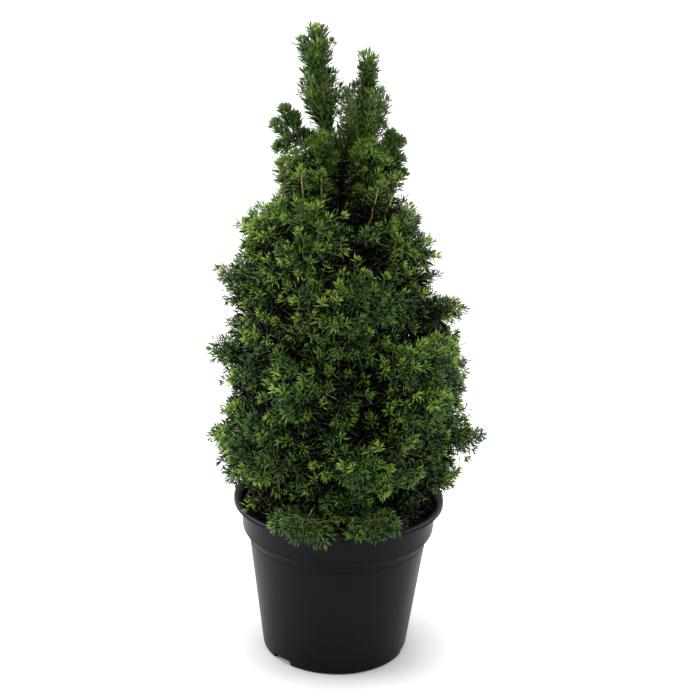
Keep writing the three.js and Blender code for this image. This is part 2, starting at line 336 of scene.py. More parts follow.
def tube(line, radii, sides, relief=0.0):
    """A tapering limb along a line, pointed at its end. relief is the depth of the bark's plates."""
    directions = unit(np.gradient(line, axis=0))
    side, rise = across(directions)
    angles = 2 * pi * np.arange(sides) / sides
    ring = side[:, None] * np.cos(angles)[:, None] + rise[:, None] * np.sin(angles)[:, None]
    reach = np.repeat(np.asarray(radii)[:, None], sides, axis=1)
    if relief:
        for i, j in np.ndindex(reach.shape):
            spot = Vector(line[i]) + Vector(ring[i, j]) * float(reach[i, j])
            flakes = noise.noise(Vector((spot.x, spot.y, spot.z * 0.35)) * 420)
            reach[i, j] *= 1 + relief * (flakes + 0.6 * noise.noise(spot * 160))
    points = (line[:, None] + ring * reach[..., None]).reshape(-1, 3)
    points = np.vstack([points, line[0], line[-1]])
    faces = []
    for a, b, c, d in bands(len(line) - 1, sides):
        faces += [(a, b, d), (a, d, c)]
    foot, tip = len(points) - 2, len(points) - 1
    for j in range(sides):
        after = (j + 1) % sides
        faces += [(foot, after, j), (tip, foot - sides + j, foot - sides + after)]
    return points, np.array(faces)


def curve(start, leave, arrive, end, count):
    """Points on a cubic from start, leaving along `leave`, to end, arriving along `arrive`."""
    t = np.linspace(0, 1, count)[:, None]
    first, second = start + leave, end - arrive
    return (1 - t) ** 3 * start + 3 * (1 - t) ** 2 * t * first + 3 * (1 - t) * t**2 * second + t**3 * end


# ---- what the CAD limbs and masses say


def corners_of(name):
    return np.array([corner.co for corner in nodes[name].data.vertices], float)


def stem_line(name):
    """The middle of each ring of corners of an upright CAD limb, from its foot up, on a fine even line."""
    points = corners_of(name)
    points = points[np.argsort(points[:, 2])]
    rings = np.split(points, np.flatnonzero(np.diff(points[:, 2]) > 6 * MM) + 1)
    middles = np.array([ring.mean(axis=0) for ring in rings])
    heights = np.linspace(middles[0, 2], middles[-1, 2], 120)
    return between(middles, middles[:, 2], heights)


TRUNK = stem_line("trunk")
RIGHT_LEADER = stem_line("right_leader")
SOIL_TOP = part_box("soil")[1][2]
POT_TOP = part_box("pot")[1][2]
LIP_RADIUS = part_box("pot")[1][0]


def soil_level(radius):
    """The top of the soil, banked up against the pot's wall."""
    return SOIL_TOP + (4.0 + 8.0 * np.clip(radius / (80 * MM), 0, 1) ** 2) * MM


def at_height(stem, height):
    return between(stem, stem[:, 2], height)


def nearer_stem(point):
    """The stem, trunk or second leader, that a twig ending at the point would spring from."""
    if point[2] < RIGHT_LEADER[0, 2] + 20 * MM:
        return TRUNK
    return min((TRUNK, RIGHT_LEADER), key=lambda stem: norm(at_height(stem, point[2]) - point))


class Mass:
    """A CAD mass, as a surface, with the shoot tips that it is dealt and their outward directions."""

    def __init__(self, name):
        self.name = name
        mesh = nodes[name].data
        mesh.calc_loop_triangles()
        self.triangles = corners_of(name)[[triangle.vertices[:] for triangle in mesh.loop_triangles]]
        self.middle = self.triangles.mean(axis=(0, 1))
        self.habit = habit_of(name, self.middle[2])
        self.tips = []

    def scatter(self):
        """Random points on the surface, about five to each that is kept, with their outward directions."""
        a, b, c = self.triangles[:, 0], self.triangles[:, 1], self.triangles[:, 2]
        normals = np.cross(b - a, c - a)
        areas = norm(normals, axis=1) / 2
        count = int(areas.sum() / self.habit.spacing**2 * 5)
        chosen = rng.choice(len(areas), count, p=areas / areas.sum())
        u, v = rng.random((2, count, 1))
        flip = u + v > 1
        u, v = np.where(flip, 1 - u, u), np.where(flip, 1 - v, v)
        return a[chosen] + u * (b - a)[chosen] + v * (c - a)[chosen], unit(normals[chosen])

    def peak(self):
        """The corner furthest from the stem, where it stands out from the rest."""
        points = self.triangles.reshape(-1, 3)
        away = norm((points - at_height(nearer_stem(self.middle), self.middle[2]))[:, :2], axis=1)
        return points[np.argmax(away)] if away.max() - np.percentile(away, 85) > 5 * MM else None


# ---- the growing rule

TONES = {
    # base colour, roughness and specular, from the near-black inner needles, which are painted shade, to
    # fresh tips
    "inner": ((0.0015, 0.004, 0.001), 0.7, 0.1),
    "deep": ((0.005, 0.022, 0.002), 0.24, 0.26),
    "blue": ((0.012, 0.040, 0.009), 0.22, 0.40),
    "leaf": ((0.023, 0.070, 0.005), 0.23, 0.36),
    "olive": ((0.064, 0.104, 0.015), 0.25, 0.36),
    "fresh": ((0.070, 0.158, 0.011), 0.25, 0.36),
    "tip": ((0.150, 0.265, 0.022), 0.27, 0.36),
    "gold": ((0.21, 0.33, 0.035), 0.3, 0.38),
}
TWIG_COLORS = {
    "old": (0.055, 0.042, 0.028),
    "young": (0.14, 0.17, 0.06),
    "tan": (0.29, 0.225, 0.12),
    "pale": (0.21, 0.25, 0.10),
}

# The share of sprays that is dealt each tone, and of shoot tips that is dealt each tip tone.
SHOOT_TONES = {"deep": 0.28, "blue": 0.20, "leaf": 0.34, "olive": 0.18}
NECK_TONES = {"deep": 0.10, "blue": 0.08, "leaf": 0.40, "olive": 0.42}
LEADER_TONES = {"deep": 0.14, "leaf": 0.36, "olive": 0.50}
FAN_TONES = {"deep": 0.1, "leaf": 0.45, "olive": 0.45}
LOW_TIPS = {"leaf": 0.33, "fresh": 0.38, "tip": 0.25, "gold": 0.04}
MIDDLE_TIPS = {"leaf": 0.30, "fresh": 0.36, "tip": 0.28, "gold": 0.06}
HIGH_TIPS = {"leaf": 0.20, "fresh": 0.36, "tip": 0.36, "gold": 0.08}
LEADER_TIPS = {"leaf": 0.40, "olive": 0.25, "fresh": 0.25, "tip": 0.10}
FAN_TIPS = {"leaf": 0.55, "fresh": 0.33, "tip": 0.12}
TUFT_TIPS = {"leaf": 0.5, "olive": 0.3, "fresh": 0.2}

# Heights where the crown's looks change.
LOW, HIGH, NECK_FOOT = 0.235, 0.36, 0.405

needles = {tone: [] for tone in TONES}
twigs = {kind: [] for kind in TWIG_COLORS}

# How a mass's shoots grow: the room between tips, their depth, rise and side shoots, and whether their old
# feet carry near-black needles, which are painted shade.
Habit = namedtuple("Habit", "spacing inset lift side_length dark_foot")


def habit_of(name, height):
    if "neck" in name:
        return Habit(8 * MM, 5 * MM, 1.3, 12 * MM, False)
    lift = float(np.interp(height, [0.15, 0.2, 0.3, 0.4], [0.05, 0.2, 0.4, 0.7]))
    return Habit((12.6 if height < LOW else 11.4) * MM, 5.5 * MM, lift, 13 * MM, True)


def pick(shares):
    return str(rng.choice(list(shares), p=np.array(list(shares.values())) / sum(shares.values())))


def add_twig(kind, line, thick, thin, sides):
    """A twig along a line, tapering from one radius in mm to the other."""
    twigs[kind].append(tube(line, np.linspace(thick, thin, len(line)) * MM, sides))


def over_neighbours(table, choose):
    """The largest or smallest of each value's neighbours, round the whole turn."""
    rows, columns = 5, 3
    tall = np.pad(table, ((rows, rows), (0, 0)), mode="edge")
    wide = np.pad(tall, ((0, 0), (columns, columns)), mode="wrap")
    windows = np.lib.stride_tricks.sliding_window_view(wide, (2 * rows + 1, 2 * columns + 1))
    return choose(windows, axis=(2, 3))


def surface_of(masses):
    """The corners of all the triangles of some masses, and a tree to cast rays at them."""
    points = np.concatenate([mass.triangles.reshape(-1, 3) for mass in masses])
    return points, BVHTree.FromPolygons(points.tolist(), np.arange(len(points)).reshape(-1, 3).tolist())


class Crown:
    """How far out the foliage reaches at each height and turn, with the dips between the masses filled."""

    def __init__(self, masses):
        self.owners = [mass for mass in masses for _ in mass.triangles]
        points, self.tree = surface_of(masses)
        self.axis = (TRUNK[-1] + RIGHT_LEADER[-1]) / 2 * [1, 1, 0]
        self.heights = np.arange(points[:, 2].min(), points[:, 2].max(), 4 * MM)
        self.turns = np.arange(0, 2 * pi, 2 * pi / 90)
        reach = np.array([[self.ray(height, turn) for turn in self.turns] for height in self.heights])
        filled = over_neighbours(over_neighbours(reach, np.max), np.min)
        self.reach = np.where(self.heights[:, None] < NECK_FOOT, filled, reach)

    def ray(self, height, turn):
        far = 0.3
        out = way(turn)
        start = self.axis + out * far + UP * height
        distance = self.tree.ray_cast(Vector(start), Vector(-out), far)[3]
        return far - distance if distance is not None else 0.0

    def scatter(self, count):
        """Random points on the filled outside, even over its area, with their outward directions."""
        lower, upper = self.reach[:-1], self.reach[1:]
        slope_up = (upper - lower) / (self.heights[1] - self.heights[0])
        middle = np.maximum((lower + upper) / 2, 1 * MM)
        tilt = np.gradient(middle, self.turns, axis=1) / middle
        area = middle * np.sqrt(1 + slope_up**2 + np.minimum(tilt**2, 9))
        area[np.minimum(lower, upper) < 12 * MM] = 0  # no tips close to the axis
        cells = rng.choice(area.size, count, p=(area / area.sum()).ravel())
        rows, columns = np.unravel_index(cells, area.shape)
        turn = self.turns[columns] + uniform(-0.5, 0.5, count) * self.turns[1]
        out = np.column_stack([np.cos(turn), np.sin(turn), np.zeros(count)])
        share = rng.random(count)
        reach = lower[rows, columns] * (1 - share) + upper[rows, columns] * share
        height = self.heights[rows] * (1 - share) + self.heights[rows + 1] * share
        points = self.axis + out * reach[:, None] + UP * height[:, None]
        lean = UP * slope_up[rows, columns][:, None] + np.cross(UP, out) * tilt[rows, columns][:, None]
        return points, unit(out - lean)

    def depth(self, point):
        """How far inside the outside a point lies, at its own height and a margin above and below it."""
        margin = 16 * MM
        away = point - self.axis
        column = round((atan2(away[1], away[0]) % (2 * pi)) / self.turns[1]) % len(self.turns)
        rows = [np.argmin(np.abs(self.heights - point[2] - step)) for step in (-margin, 0, margin)]
        return self.reach[rows, column].min() - hypot(away[0], away[1])

    def owner(self, point):
        return self.owners[self.tree.find_nearest(Vector(point))[2]]


FAR_OFF = 9.0


def gap_to(points, point):
    """How far a point lies from the nearest of some others."""
    return norm(points - point, axis=1).min(initial=FAR_OFF)


LEADING_SHARE = 0.12  # of the tips stand out from the rest


def deal_tips(body, crown):
    """Deals each mass its shoot tips, spread evenly over the outside of the whole crown."""
    summits = [(mass, mass.peak()) for mass in body]
    candidates = [(mass, peak, unit(peak - mass.middle)) for mass, peak in summits if peak is not None]
    peaks = len(candidates)
    candidates += [(crown.owner(point), point, normal) for point, normal in zip(*crown.scatter(9000))]
    for mass in body:
        for point, normal in zip(*mass.scatter()):
            if ("neck" in mass.name and normal[2] > 0.5) or ("skirt" in mass.name and normal[2] < -0.5):
                candidates.append((mass, point, normal))
    kept = np.full((len(candidates), 3), FAR_OFF)
    for i, (mass, point, normal) in enumerate(candidates):
        by_left_sprig = "neck" in mass.name and point[0] < -36 * MM and point[2] > 464 * MM
        if by_left_sprig or near_pot(point, 8 * MM):
            continue
        if gap_to(kept[:i], point) > mass.habit.spacing:
            kept[i] = point
            depth = mass.habit.inset + uniform(-1.5, 4) * MM
            if i < peaks:
                depth = 3 * MM
            elif rng.random() < LEADING_SHARE and point[2] < NECK_FOOT:
                depth -= uniform(2, 6) * MM
            tip = point - normal * depth
            tip[1] *= np.interp(tip[2], [0.42, 0.48], [1, 0.5])  # the neck is flat from front to back
            mass.tips.append((tip, normal))
            if i < peaks:
                aside = unit(np.cross(normal, UP)) * 7 * MM
                mass.tips.append((tip + aside - normal * 5 * MM, normal))
                mass.tips.append((tip - aside - normal * 6 * MM, normal))


NEEDLE = 11.2 * MM
NEEDLE_WIDTH = 1.15 * MM
PITCH = 1.1 * MM
NEEDLE_GROWTH = ([0.15, 0.24, 0.36], [1.14, 1.08, 0.96])  # longer needles on the low shoots: height, size
STAR_NEEDLES = 10


def clothe(line, tone, tip_tone=None, pitch=PITCH, start=0.0, size=1.0, splay=(1.25, 0.7), parted=False):
    """Needles in a spiral along a shoot, with a small star of them on a fresh tip.

    start is the bare share at its foot, splay the needles' angle to it, first along it and then at its tip.
    A parted shoot has its upright needles turned down.
    """
    size *= np.interp(line[0, 2], *NEEDLE_GROWTH)
    steps = norm(np.diff(line, axis=0), axis=1)
    along = np.concatenate([[0], np.cumsum(steps)])
    total = along[-1]
    places = np.arange(start * total, total, pitch * size)
    if len(places) < 2:
        return
    if tip_tone:
        places = np.append(places, np.full(STAR_NEEDLES, total))
    count = len(places)
    foot = between(line, along, places)
    tangents = unit(np.gradient(line, axis=0))
    direction = unit(between(tangents, along, places))
    side, rise = across(direction)
    turn = SPIRAL_TURN * np.arange(count) + uniform(*ANY_TURN) + rng.normal(0, 0.25, count)
    ripe = np.clip((total - places) / (6 * MM), 0, 1)
    angle = splay[1] + (splay[0] - splay[1]) * ripe**0.6 + rng.normal(0, 0.16, count)
    angle[places == total] = uniform(0.15, 1.4, (places == total).sum())
    out = side * np.cos(turn)[:, None] + rise * np.sin(turn)[:, None]
    if parted:
        out[out[:, 2] > 0.82] *= -1
    pointing = unit(direction * np.cos(angle)[:, None] + out * np.sin(angle)[:, None] + UP * 0.1)
    lengths = NEEDLE * size * (0.78 + 0.22 * ripe) * uniform(0.75, 1.12, count)
    fresh = places > total - 4.5 * MM * uniform(0.4, 1.4, count) if tip_tone else np.zeros(count, bool)
    for some, some_tone in ((~fresh, tone), (fresh, tip_tone)):
        if some.any():
            # The near-black inner needles are painted shade, and are drawn wider.
            widths = np.full(some.sum(), NEEDLE_WIDTH * size * (1.8 if some_tone == "inner" else 1))
            sizes = lengths[some] * (0.82 if some_tone == tip_tone else 1)
            needles[some_tone].append((foot[some], pointing[some], direction[some], sizes, widths))


def grow_branchlet(start, leave, end, normal, habit):
    """A twig to one shoot tip, with side shoots, clothed in needles whose tones are dealt by its height."""
    out = end - at_height(nearer_stem(end), end[2])
    wander = rng.normal(0, 0.22, 3)
    arrive = unit(unit(end - start) * 0.5 + normal * 0.45 + unit(out) * 0.3 + UP * habit.lift + wander)
    tip_tone = pick(LOW_TIPS if end[2] < LOW else HIGH_TIPS if end[2] > HIGH else MIDDLE_TIPS)
    tone = pick(NECK_TONES if end[2] > NECK_FOOT else SHOOT_TONES)
    reach = norm(end - start)
    line = curve(start, leave * reach * 0.35, arrive * reach * 0.4, end, 7)
    add_twig("young", line, 0.8, 0.4, 3)
    # The foot of the twig, deep in the crown, gets near-black needles: painted shade.
    if habit.dark_foot:
        clothe(line[:3], "inner", pitch=1.2 * MM, start=0.15)
    clothe(line[2 if habit.dark_foot else 1 :], tone, tip_tone)
    tangents = unit(np.gradient(line, axis=0))
    first_side = rng.choice([-1, 1])
    for k in range(2):
        share = 0.25 + 0.3 * (k + uniform(0.2, 0.8))
        i = int(share * (len(line) - 1))
        direction = tangents[i]
        side, rise = across(direction)
        roll = (0 if first_side * (-1) ** k > 0 else pi) + rng.normal(0, 0.55)
        fork = uniform(0.65, 1.0)
        out = side * cos(roll) + rise * sin(roll)
        heading = unit(direction * cos(fork) + out * sin(fork) + UP * habit.lift * 0.2)
        length = habit.side_length * uniform(0.75, 1.25)
        tip = line[i] + heading * length + direction * length * 0.15
        shoot = curve(line[i], heading * length * 0.3, unit(heading + direction * 0.4) * length * 0.3, tip, 3)
        add_twig("young", shoot, 0.45, 0.3, 3)
        clothe(shoot, tone, tip_tone if rng.random() < 0.6 else None, start=0.05)


def groups_of(points, size):
    """Numbers each point by the group it falls in, about `size` to a group."""
    count = max(1, int(round(len(points) / size)))
    seeds = points[rng.choice(len(points), count, replace=False)]
    for _ in range(8):
        labels = np.argmin(norm(points[:, None] - seeds[None], axis=2), axis=1)
        for k in np.unique(labels):
            seeds[k] = points[labels == k].mean(axis=0)
    return labels


def limb_ends(name):
    """Where a CAD bough or twig leaves the stem, and where it enters its mass."""
    points = corners_of(name)
    stem = np.array([at_height(TRUNK, z) for z in points[:, 2]])
    order = np.argsort(norm(points - stem, axis=1))
    return points[order[:6]].mean(axis=0), points[order[-6:]].mean(axis=0)


def grow_mass(mass):
    """Forks from the limb's end to groups of tips, and a branchlet to each. The neck's rise off the stems."""
    if "neck" in mass.name:
        for point, normal in mass.tips:
            grow_branchlet(*spring_point(point), point, normal, mass.habit)
        return
    points = np.array([point for point, _ in mass.tips])
    _, limb_end = limb_ends(mass.name.replace("_mass_", "_bough_"))
    hub = limb_end + (mass.middle - limb_end) * 0.4
    heading = unit(hub - limb_end)
    line = np.linspace(limb_end - heading * 3 * MM, hub, 5)
    add_twig("old", line, 1.5, 1.1, 5)
    labels = groups_of(points, 7)
    for label in np.unique(labels):
        members = np.flatnonzero(labels == label)
        centre = points[members].mean(axis=0)
        fork = centre + (hub - centre) * min(1.0, 24 * MM / norm(hub - centre))
        bend = unit(fork - hub + heading * 8 * MM)
        line = curve(hub, bend * 8 * MM, unit(fork - hub) * 8 * MM, fork, 6)
        add_twig("old", line, 1.1, 0.75, 4)
        # Near-black needles on the forks are painted shade inside the crown.
        clothe(line, "inner", pitch=1.6 * MM, start=0.2)
        for member in members:
            grow_branchlet(fork, unit(fork - hub), *mass.tips[member], mass.habit)


SPRIGS = {
    # tufts as shares of the sprig's width and height, and the tones they are dealt
    "upper_left_sprig": (
        ((0.54, 0.60), (0.81, 0.30), (0.33, 0.06), (0.72, -0.35), (0.45, -0.6), (1.0, -0.3)),
        {"deep": 0.4, "leaf": 0.6},
    ),
    "right_sprig": (
        ((0.2, 0.75), (0.55, 0.6), (0.2, 0.3), (0.6, 0.1), (0.7, -0.3)),
        {"leaf": 0.6, "olive": 0.4},
    ),
}


def sprig_fork(limb_end):
    """Where a sprig's limb forks: lower and further in than the CAD twig's end."""
    return limb_end * [0.9, 1, 1] - UP * 13 * MM


def grow_sprig(mass):
    """A few small round tufts on thin bare stems."""
    low, high = mass.triangles.min(axis=(0, 1)), mass.triangles.max(axis=(0, 1))
    tufts, tones = SPRIGS[mass.name]
    fork = sprig_fork(limb_ends(mass.name.replace("_sprig", "_twig"))[1])
    for across_share, up_share in tufts:
        end = low + (high - low) * [across_share, uniform(0.3, 0.7), up_share]
        heading = unit(end - fork)
        arrive = unit(heading + UP * 0.5)
        line = curve(fork, heading * 5 * MM, arrive * 7 * MM, end, 8)
        add_twig("young", line, 1.1, 0.7, 4)
        tone = pick(tones)
        side, rise = across(arrive)
        for k in range(9):
            lean = uniform(0.1, 0.9)
            turn = WHORL_TURN * k
            aside = side * cos(turn) + rise * sin(turn)
            out = unit(arrive * cos(lean) + aside * sin(lean))
            shoot = curve(line[-4], out * MM, out * 2 * MM, end + out * 4 * MM, 4)
            clothe(shoot, tone, pick(TUFT_TIPS), splay=(0.95, 0.55))


SPRAY_FANS = {
    # hub: share of the spray's box. Shoots: turn in degrees, reach in mm.
    "front_spray_1": ((0.67, 0.45, 0.45), ((180, 25), (225, 15), (256, 17), (312, 25), (343, 17), (150, 30))),
    "front_spray_2": ((0.58, 0.56, 0.53), ((210, 21), (230, 17), (5, 15), (338, 17), (297, 13), (100, 16))),
}


def grow_spray(mass):
    """A flat fan that hangs over the rim: shoots from one hub, each with side shoots left and right."""
    share, shoots = SPRAY_FANS[mass.name]
    low, high = mass.triangles.min(axis=(0, 1)), mass.triangles.max(axis=(0, 1))
    hub = low + (high - low) * share
    limb_end = limb_ends("skirt_bough_4")[1]
    limb = curve(limb_end, UP * 4 * MM, unit(hub - limb_end) * 12 * MM, hub, 10)
    add_twig("old", limb, 1.6, 1.1, 6)
    for turn, reach in shoots:
        out = way(radians(turn)) * reach * MM
        end = hub + out - UP * (0.1 * reach * MM + 0.4 * max(0.0, -out[1]))
        line = curve(hub, out * 0.4 + UP * 4 * MM, (end - hub) * 0.35 - UP * 3 * MM, end, 9)
        add_twig("pale", line, 0.75, 0.4, 5)
        tone = pick(FAN_TONES)
        tip_tone = pick(FAN_TIPS)
        clothe(line, tone, tip_tone, pitch=1.5 * MM, size=1.1, parted=True)
        tangents = unit(np.gradient(line, axis=0))
        for k, i in enumerate(range(2, 7)):
            side = unit(np.cross(tangents[i], UP)) * (-1) ** k
            length = uniform(8, 13) * MM * np.interp(reach, [16, 30], [0.75, 1.0])
            heading = unit(tangents[i] * 0.75 + side * 0.8 - UP * uniform(0, 0.25))
            arrive = unit(heading + tangents[i] * 0.4) * length * 0.3
            shoot = curve(line[i], heading * length * 0.3, arrive, line[i] + heading * length, 5)
            add_twig("young", shoot, 0.4, 0.25, 4)
            clothe(shoot, tone, tip_tone if k % 2 else "leaf", pitch=1.5 * MM, start=0.05, parted=True)


# Each layer's share of the crown's reach, and its spacing.
LINING = ((0.82, 12.3 * MM), (0.64, 12.5 * MM), (0.44, 12.5 * MM), (0.22, 12.5 * MM))
LINING_TOP = 445 * MM


def grow_lining(crown, hubs):
    """Layers of shoots on old twigs lying across the inside of the crown, behind the fresh ones; their
    near-black needles are painted shade.
    """
    for share, spacing in LINING:
        points, _ = crown.scatter(5000)
        points = crown.axis + (points - crown.axis) * [share, share, 1]
        kept = np.full((len(points), 3), FAR_OFF)
        for i, point in enumerate(points):
            if point[2] > LINING_TOP or crown.depth(point) < 11 * MM or near_pot(point, 14 * MM):
                continue
            if gap_to(kept[:i], point) < spacing:
                continue
            kept[i] = point
            out = unit((point - crown.axis) * [1, 1, 0])
            aside = np.cross(out, UP) * rng.choice([-1, 1])
            along = unit(aside + UP * uniform(-0.3, 1.0) + out * 0.4)
            start, end = point - along * 11 * MM, point + along * 11 * MM
            line = curve(start, along * 7 * MM, unit(along + UP * 0.3) * 7 * MM, end, 4)
            add_twig("old", line, 0.8, 0.4, 3)
            # Near-black needles: painted shade inside the crown.
            clothe(line, "inner", pitch=1.1 * MM, size=1.3)
            root = hubs[int(np.argmin(norm(hubs - start, axis=1)))]
            line = curve(root, unit(start - root) * 8 * MM, along * 5 * MM, start, 3)
            add_twig("old", line, 1.0, 0.7, 3)


BARE_STEMS = 13


def grow_bare_stems(crown):
    """Tan stems that rise bare out of the shoulder, among the neck's needles, each with its own tuft."""
    for k in range(BARE_STEMS):
        turn = 2 * pi * (k + uniform(-0.4, 0.4)) / BARE_STEMS
        out = way(turn)
        foot_height, top_height = uniform(365, 385) * MM, uniform(430, 458) * MM
        row = np.argmin(np.abs(crown.heights - top_height))
        reach = crown.reach[row, round(turn / crown.turns[1]) % len(crown.turns)]
        start = at_height(TRUNK, foot_height)
        end = crown.axis + out * (reach - uniform(0, 4) * MM) + UP * top_height
        arrive = unit(UP + out * uniform(-0.2, 0.5)) * 28 * MM
        line = curve(start, out * reach * 0.6 + UP * 10 * MM, arrive, end, 14)
        line[3:-3] += rng.normal(0, 0.4 * MM, (8, 3))
        add_twig("tan", line, 1.15, 0.5, 6)
        for tuft in (line[10:], line[11:]):
            clothe(tuft, pick(SHOOT_TONES), pick(MIDDLE_TIPS))


def near_pot(point, room):
    """Whether a point lies under a steep bowl that keeps that room clear over the soil and the rim."""
    radius = hypot(point[0], point[1])
    return point[2] < SOIL_TOP + room + max(0.0, radius - 48 * MM) * 0.5


def spring_point(end):
    """Where on a stem a twig to `end` starts, and which way it leaves."""
    stem = nearer_stem(end)
    away = norm(at_height(stem, end[2])[:2] - end[:2])
    drop = away * 0.8 + 14 * MM
    start = at_height(stem, max(end[2] - drop, SOIL_TOP + 12 * MM))
    return start, unit(unit(end - start) + UP * 0.4)


def leader_reach(masses, stem, height, turn):
    """How far the CAD masses of a leader stand out from its stem at a height and turn."""
    out = Vector(way(turn))
    far = 60 * MM
    start = Vector(at_height(stem, min(height, stem[-1, 2]))[:2].tolist() + [height]) + out * far
    distance = masses.ray_cast(start, -out, far)[3]
    return far - distance if distance is not None else 6 * MM


LEADERS = (
    # name, stem, height of the lowest whorl, and how much of the CAD shape is filled: heights, shares
    ("left_leader", TRUNK, 0.470, ([0.478, 0.486, 0.495, 0.508], [0.3, 0.4, 0.7, 1.0])),
    ("right_leader", RIGHT_LEADER, 0.462, ([0.511, 0.518, 0.524], [1.05, 0.85, 0.55])),
)
WHORL = 8
WHORL_REACHES = (1.0, 0.6, 1.0, 0.8)
CROWN_TUFT = 7


def grow_leader(masses, stem, foot_height, shares):
    """Whorls of rising shoots that fill a leader's shape, and the upright tuft on its top."""
    points, shape = surface_of(masses)
    crest_height = points[:, 2].max()
    for number, height in enumerate(np.arange(crest_height - 19 * MM, foot_height, -6 * MM)):
        for k in range(WHORL):
            turn = 2 * pi * (k + uniform(-0.25, 0.25)) / WHORL + number * WHORL_TURN
            out = way(turn)
            reach = leader_reach(shape, stem, height, turn) - uniform(0, 4.5) * MM
            reach = max(reach * WHORL_REACHES[k % len(WHORL_REACHES)] * np.interp(height, *shares), 2 * MM)
            rise = uniform(1.0, 1.5) * reach + 4 * MM
            end = at_height(stem, height)
            end = end + out * reach + UP * (height - end[2])
            start = at_height(stem, height - rise)
            heading = unit(end - start)
            line = curve(start, heading * rise * 0.3, unit(heading + UP) * rise * 0.35, end, 6)
            add_twig("young", line, 0.6, 0.35, 3)
            tone, tip_tone = pick(LEADER_TONES), pick(LEADER_TIPS)
            clothe(line[1:], tone, tip_tone, pitch=1.0 * MM, size=1.08, splay=(0.8, 0.4))
    top = stem[-1, 2]
    upper = stem[(stem[:, 2] > foot_height) & (stem[:, 2] < top - 2 * MM)]
    clothe(upper, "olive", pitch=0.6 * MM, size=1.08, splay=(0.5, 0.45))
    clothe(upper[:-12], "deep", pitch=0.42 * MM, size=1.15, splay=(0.9, 0.9))
    for k in range(CROWN_TUFT):
        out = way(2 * pi * (k + uniform(-0.2, 0.2)) / CROWN_TUFT)
        start = at_height(stem, top - 16 * MM)
        spread = uniform(0.05, 0.32)
        length = (crest_height - 6 * MM - start[2]) * uniform(0.75, 1.0)
        end = start + (out * sin(spread) + UP * cos(spread)) * length
        line = curve(start, UP * 5 * MM, unit(end - start) * 6 * MM, end, 5)
        add_twig("young", line, 0.6, 0.35, 3)
        clothe(line, "leaf", "tip" if k % 2 else "fresh", size=1.08, splay=(0.75, 0.35))


# The turns of a needle's belly corners, and its faces: foot 0, belly corners, and the tip last.
SPINDLE = ((0, 2.0944, 4.1888), [(0, 2, 1), (0, 3, 2), (0, 1, 3), (4, 1, 2), (4, 2, 3), (4, 3, 1)])
FOLDED = ((0, 2.4), [(0, 1, 2), (3, 2, 1), (0, 3, 1), (0, 2, 3)])


def needle_mesh(batches, form):
    """Slim needles, a little bent towards the shoot's tip. Any that would cut the pot or soil is left out."""
    foot, pointing, bend, lengths, widths = (np.concatenate(parts) for parts in zip(*batches))
    tips = foot + pointing * lengths[:, None] + bend * lengths[:, None] * 0.12
    radius = np.hypot(tips[:, 0], tips[:, 1])
    past_lip = radius > LIP_RADIUS + 1 * MM
    clear = past_lip | (tips[:, 2] > soil_level(radius) + 2 * MM)
    clear &= past_lip | (tips[:, 2] > POT_TOP + 1 * MM) | (radius < LIP_RADIUS - 9 * MM)
    foot, pointing, lengths, widths, tips = (part[clear] for part in (foot, pointing, lengths, widths, tips))
    side, rise = across(pointing)
    spin = uniform(*ANY_TURN, len(foot))
    belly = foot + pointing * lengths[:, None] * 0.6
    turns, pattern = form
    corners = []
    for angle in (spin + turn for turn in turns):
        aside = side * np.cos(angle)[:, None] + rise * np.sin(angle)[:, None]
        corners.append(belly + aside * widths[:, None] / 2)
    points = np.stack([foot, *corners, tips], axis=1)
    faces = np.arange(len(foot))[:, None, None] * points.shape[1] + np.array(pattern)
    return points.reshape(-1, 3), faces.reshape(-1, 3)


def nodes_in(slot):
    return sorted(part["node"] for part in frame["record"]["subparts"] if part["material_slot"] == slot)


def add_plant():
    """Grows the whole plant, then makes one piece of each needle tone and each kind of twig."""
    mass_names = nodes_in("foliage")
    masses = [Mass(name) for name in mass_names]
    body = [mass for mass in masses if "_mass_" in mass.name or "neck" in mass.name]
    crown = Crown(body)
    deal_tips(body, crown)
    for mass in masses:
        if "sprig" in mass.name:
            grow_sprig(mass)
        elif "spray" in mass.name:
            grow_spray(mass)
        elif "leader" not in mass.name:
            grow_mass(mass)
    grow_lining(crown, np.array([mass.middle for mass in body]))
    grow_bare_stems(crown)
    for name, stem, foot_height, shares in LEADERS:
        leader = [mass for mass in masses if mass.name.startswith(name)]
        grow_leader(leader, stem, foot_height, shares)

    for tone, finish in TONES.items():
        # The near-black inner needles, painted shade, are folded from two faces.
        shape = needle_mesh(needles[tone], FOLDED if tone == "inner" else SPINDLE)
        add_piece(f"needles_{tone}_1", *shape, plain(f"needle_{tone}", *finish), "foliage", mass_names)
    for kind, color in TWIG_COLORS.items():
        add_piece(f"twigs_{kind}", *joined(twigs[kind]), plain(f"twig_{kind}", color, 0.7, 0.3), "bark")
    add_limbs()


